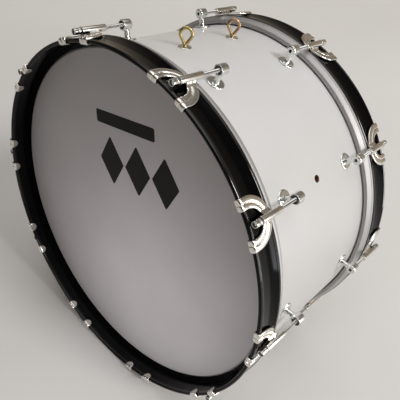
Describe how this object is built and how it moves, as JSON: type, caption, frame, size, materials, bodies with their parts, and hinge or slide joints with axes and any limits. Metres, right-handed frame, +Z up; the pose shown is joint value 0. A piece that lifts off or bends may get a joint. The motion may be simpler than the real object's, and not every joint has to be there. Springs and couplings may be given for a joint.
{
  "type": "marching bass drum",
  "caption": "Marching bass drum: wrapped plywood shell, two heads, black counter hoops held by claws, tension rods and round lugs, with eye bolts for a carrier.",
  "frame": {"origin": "on the floor below the middle of the drum, where the hoops stand", "axes": "+Y along the drum's axis from the front head to the rear head, +Z up through the eye bolts, +X to the right seen from the front"},
  "size_m": [0.6686, 0.3808, 0.6521],
  "materials": {
    "shell_plywood": "sealed plywood",
    "white_wrap": "gloss white covering",
    "head_film": "smooth white polyester film",
    "flesh_hoop": "bright aluminium",
    "black_hoop": "gloss black",
    "claw_plating": "bright nickel plating on cast zinc",
    "lug_plating": "bright chrome plating",
    "rod_plating": "bright plated steel, threaded",
    "nut_steel": "dark steel",
    "steel": "plated steel",
    "yellow_zinc": "yellow zinc plated steel",
    "eye_plate": "zinc plated steel"
  },
  "bodies": {
    "shell": {"shell": "shell_plywood", "shell_wrap": "white_wrap", "front_lugs": "lug_plating", "front_swivel_nuts": "nut_steel", "front_lug_screws": "steel", "front_lug_washers": "steel", "front_eye_bolt": "yellow_zinc", "front_eye_plate": "eye_plate", "front_eye_washer": "steel", "front_eye_nut": "steel", "rear_lugs": "lug_plating", "rear_swivel_nuts": "nut_steel", "rear_lug_screws": "steel", "rear_lug_washers": "steel", "rear_eye_bolt": "yellow_zinc", "rear_eye_plate": "eye_plate", "rear_eye_washer": "steel", "rear_eye_nut": "steel"},
    "front_rim": {"front_counter_hoop": "black_hoop", "front_claws": "claw_plating", "front_head": "head_film", "front_flesh_hoop": "flesh_hoop", "front_rod_washers": "steel"},
    "front_rod_01": {"front_tension_rod_01": "rod_plating"},
    "front_rod_02": {"front_tension_rod_02": "rod_plating"},
    "front_rod_03": {"front_tension_rod_03": "rod_plating"},
    "front_rod_04": {"front_tension_rod_04": "rod_plating"},
    "front_rod_05": {"front_tension_rod_05": "rod_plating"},
    "front_rod_06": {"front_tension_rod_06": "rod_plating"},
    "front_rod_07": {"front_tension_rod_07": "rod_plating"},
    "front_rod_08": {"front_tension_rod_08": "rod_plating"},
    "front_rod_09": {"front_tension_rod_09": "rod_plating"},
    "front_rod_10": {"front_tension_rod_10": "rod_plating"},
    "rear_rim": {"rear_counter_hoop": "black_hoop", "rear_claws": "claw_plating", "rear_head": "head_film", "rear_flesh_hoop": "flesh_hoop", "rear_rod_washers": "steel"},
    "rear_rod_01": {"rear_tension_rod_01": "rod_plating"},
    "rear_rod_02": {"rear_tension_rod_02": "rod_plating"},
    "rear_rod_03": {"rear_tension_rod_03": "rod_plating"},
    "rear_rod_04": {"rear_tension_rod_04": "rod_plating"},
    "rear_rod_05": {"rear_tension_rod_05": "rod_plating"},
    "rear_rod_06": {"rear_tension_rod_06": "rod_plating"},
    "rear_rod_07": {"rear_tension_rod_07": "rod_plating"},
    "rear_rod_08": {"rear_tension_rod_08": "rod_plating"},
    "rear_rod_09": {"rear_tension_rod_09": "rod_plating"},
    "rear_rod_10": {"rear_tension_rod_10": "rod_plating"}
  },
  "joints": [
    {"name": "front_head_tension", "type": "slide", "parent": "shell", "child": "front_rim", "axis": [0, -1, 0], "range_m": [0, 0.00625]},
    {"name": "front_rod_01_turn", "type": "hinge", "parent": "front_rim", "child": "front_rod_01", "pos_m": [-0.10074, -0.137, 0.62804], "axis": [0, -1, 0], "range_deg": [0, 2130]},
    {"name": "front_rod_02_turn", "type": "hinge", "parent": "front_rim", "child": "front_rod_02", "pos_m": [0.10074, -0.137, 0.62804], "axis": [0, -1, 0], "range_deg": [0, 2130]},
    {"name": "front_rod_03_turn", "type": "hinge", "parent": "front_rim", "child": "front_rod_03", "pos_m": [0.26374, -0.137, 0.50962], "axis": [0, -1, 0], "range_deg": [0, 2130]},
    {"name": "front_rod_04_turn", "type": "hinge", "parent": "front_rim", "child": "front_rod_04", "pos_m": [0.326, -0.137, 0.318], "axis": [0, -1, 0], "range_deg": [0, 2130]},
    {"name": "front_rod_05_turn", "type": "hinge", "parent": "front_rim", "child": "front_rod_05", "pos_m": [0.26374, -0.137, 0.12638], "axis": [0, -1, 0], "range_deg": [0, 2130]},
    {"name": "front_rod_06_turn", "type": "hinge", "parent": "front_rim", "child": "front_rod_06", "pos_m": [0.10074, -0.137, 0.00796], "axis": [0, -1, 0], "range_deg": [0, 2130]},
    {"name": "front_rod_07_turn", "type": "hinge", "parent": "front_rim", "child": "front_rod_07", "pos_m": [-0.10074, -0.137, 0.00796], "axis": [0, -1, 0], "range_deg": [0, 2130]},
    {"name": "front_rod_08_turn", "type": "hinge", "parent": "front_rim", "child": "front_rod_08", "pos_m": [-0.26374, -0.137, 0.12638], "axis": [0, -1, 0], "range_deg": [0, 2130]},
    {"name": "front_rod_09_turn", "type": "hinge", "parent": "front_rim", "child": "front_rod_09", "pos_m": [-0.326, -0.137, 0.318], "axis": [0, -1, 0], "range_deg": [0, 2130]},
    {"name": "front_rod_10_turn", "type": "hinge", "parent": "front_rim", "child": "front_rod_10", "pos_m": [-0.26374, -0.137, 0.50962], "axis": [0, -1, 0], "range_deg": [0, 2130]},
    {"name": "rear_head_tension", "type": "slide", "parent": "shell", "child": "rear_rim", "axis": [0, 1, 0], "range_m": [0, 0.00625]},
    {"name": "rear_rod_01_turn", "type": "hinge", "parent": "rear_rim", "child": "rear_rod_01", "pos_m": [0.10074, 0.137, 0.62804], "axis": [0, 1, 0], "range_deg": [0, 2130]},
    {"name": "rear_rod_02_turn", "type": "hinge", "parent": "rear_rim", "child": "rear_rod_02", "pos_m": [-0.10074, 0.137, 0.62804], "axis": [0, 1, 0], "range_deg": [0, 2130]},
    {"name": "rear_rod_03_turn", "type": "hinge", "parent": "rear_rim", "child": "rear_rod_03", "pos_m": [-0.26374, 0.137, 0.50962], "axis": [0, 1, 0], "range_deg": [0, 2130]},
    {"name": "rear_rod_04_turn", "type": "hinge", "parent": "rear_rim", "child": "rear_rod_04", "pos_m": [-0.326, 0.137, 0.318], "axis": [0, 1, 0], "range_deg": [0, 2130]},
    {"name": "rear_rod_05_turn", "type": "hinge", "parent": "rear_rim", "child": "rear_rod_05", "pos_m": [-0.26374, 0.137, 0.12638], "axis": [0, 1, 0], "range_deg": [0, 2130]},
    {"name": "rear_rod_06_turn", "type": "hinge", "parent": "rear_rim", "child": "rear_rod_06", "pos_m": [-0.10074, 0.137, 0.00796], "axis": [0, 1, 0], "range_deg": [0, 2130]},
    {"name": "rear_rod_07_turn", "type": "hinge", "parent": "rear_rim", "child": "rear_rod_07", "pos_m": [0.10074, 0.137, 0.00796], "axis": [0, 1, 0], "range_deg": [0, 2130]},
    {"name": "rear_rod_08_turn", "type": "hinge", "parent": "rear_rim", "child": "rear_rod_08", "pos_m": [0.26374, 0.137, 0.12638], "axis": [0, 1, 0], "range_deg": [0, 2130]},
    {"name": "rear_rod_09_turn", "type": "hinge", "parent": "rear_rim", "child": "rear_rod_09", "pos_m": [0.326, 0.137, 0.318], "axis": [0, 1, 0], "range_deg": [0, 2130]},
    {"name": "rear_rod_10_turn", "type": "hinge", "parent": "rear_rim", "child": "rear_rod_10", "pos_m": [0.26374, 0.137, 0.50962], "axis": [0, 1, 0], "range_deg": [0, 2130]}
  ],
  "couplings": [
    {"joint": "front_rod_01_turn", "follows": "front_head_tension", "rad_per_m": 5936.9},
    {"joint": "front_rod_02_turn", "follows": "front_head_tension", "rad_per_m": 5936.9},
    {"joint": "front_rod_03_turn", "follows": "front_head_tension", "rad_per_m": 5936.9},
    {"joint": "front_rod_04_turn", "follows": "front_head_tension", "rad_per_m": 5936.9},
    {"joint": "front_rod_05_turn", "follows": "front_head_tension", "rad_per_m": 5936.9},
    {"joint": "front_rod_06_turn", "follows": "front_head_tension", "rad_per_m": 5936.9},
    {"joint": "front_rod_07_turn", "follows": "front_head_tension", "rad_per_m": 5936.9},
    {"joint": "front_rod_08_turn", "follows": "front_head_tension", "rad_per_m": 5936.9},
    {"joint": "front_rod_09_turn", "follows": "front_head_tension", "rad_per_m": 5936.9},
    {"joint": "front_rod_10_turn", "follows": "front_head_tension", "rad_per_m": 5936.9},
    {"joint": "rear_rod_01_turn", "follows": "rear_head_tension", "rad_per_m": 5936.9},
    {"joint": "rear_rod_02_turn", "follows": "rear_head_tension", "rad_per_m": 5936.9},
    {"joint": "rear_rod_03_turn", "follows": "rear_head_tension", "rad_per_m": 5936.9},
    {"joint": "rear_rod_04_turn", "follows": "rear_head_tension", "rad_per_m": 5936.9},
    {"joint": "rear_rod_05_turn", "follows": "rear_head_tension", "rad_per_m": 5936.9},
    {"joint": "rear_rod_06_turn", "follows": "rear_head_tension", "rad_per_m": 5936.9},
    {"joint": "rear_rod_07_turn", "follows": "rear_head_tension", "rad_per_m": 5936.9},
    {"joint": "rear_rod_08_turn", "follows": "rear_head_tension", "rad_per_m": 5936.9},
    {"joint": "rear_rod_09_turn", "follows": "rear_head_tension", "rad_per_m": 5936.9},
    {"joint": "rear_rod_10_turn", "follows": "rear_head_tension", "rad_per_m": 5936.9}
  ]
}
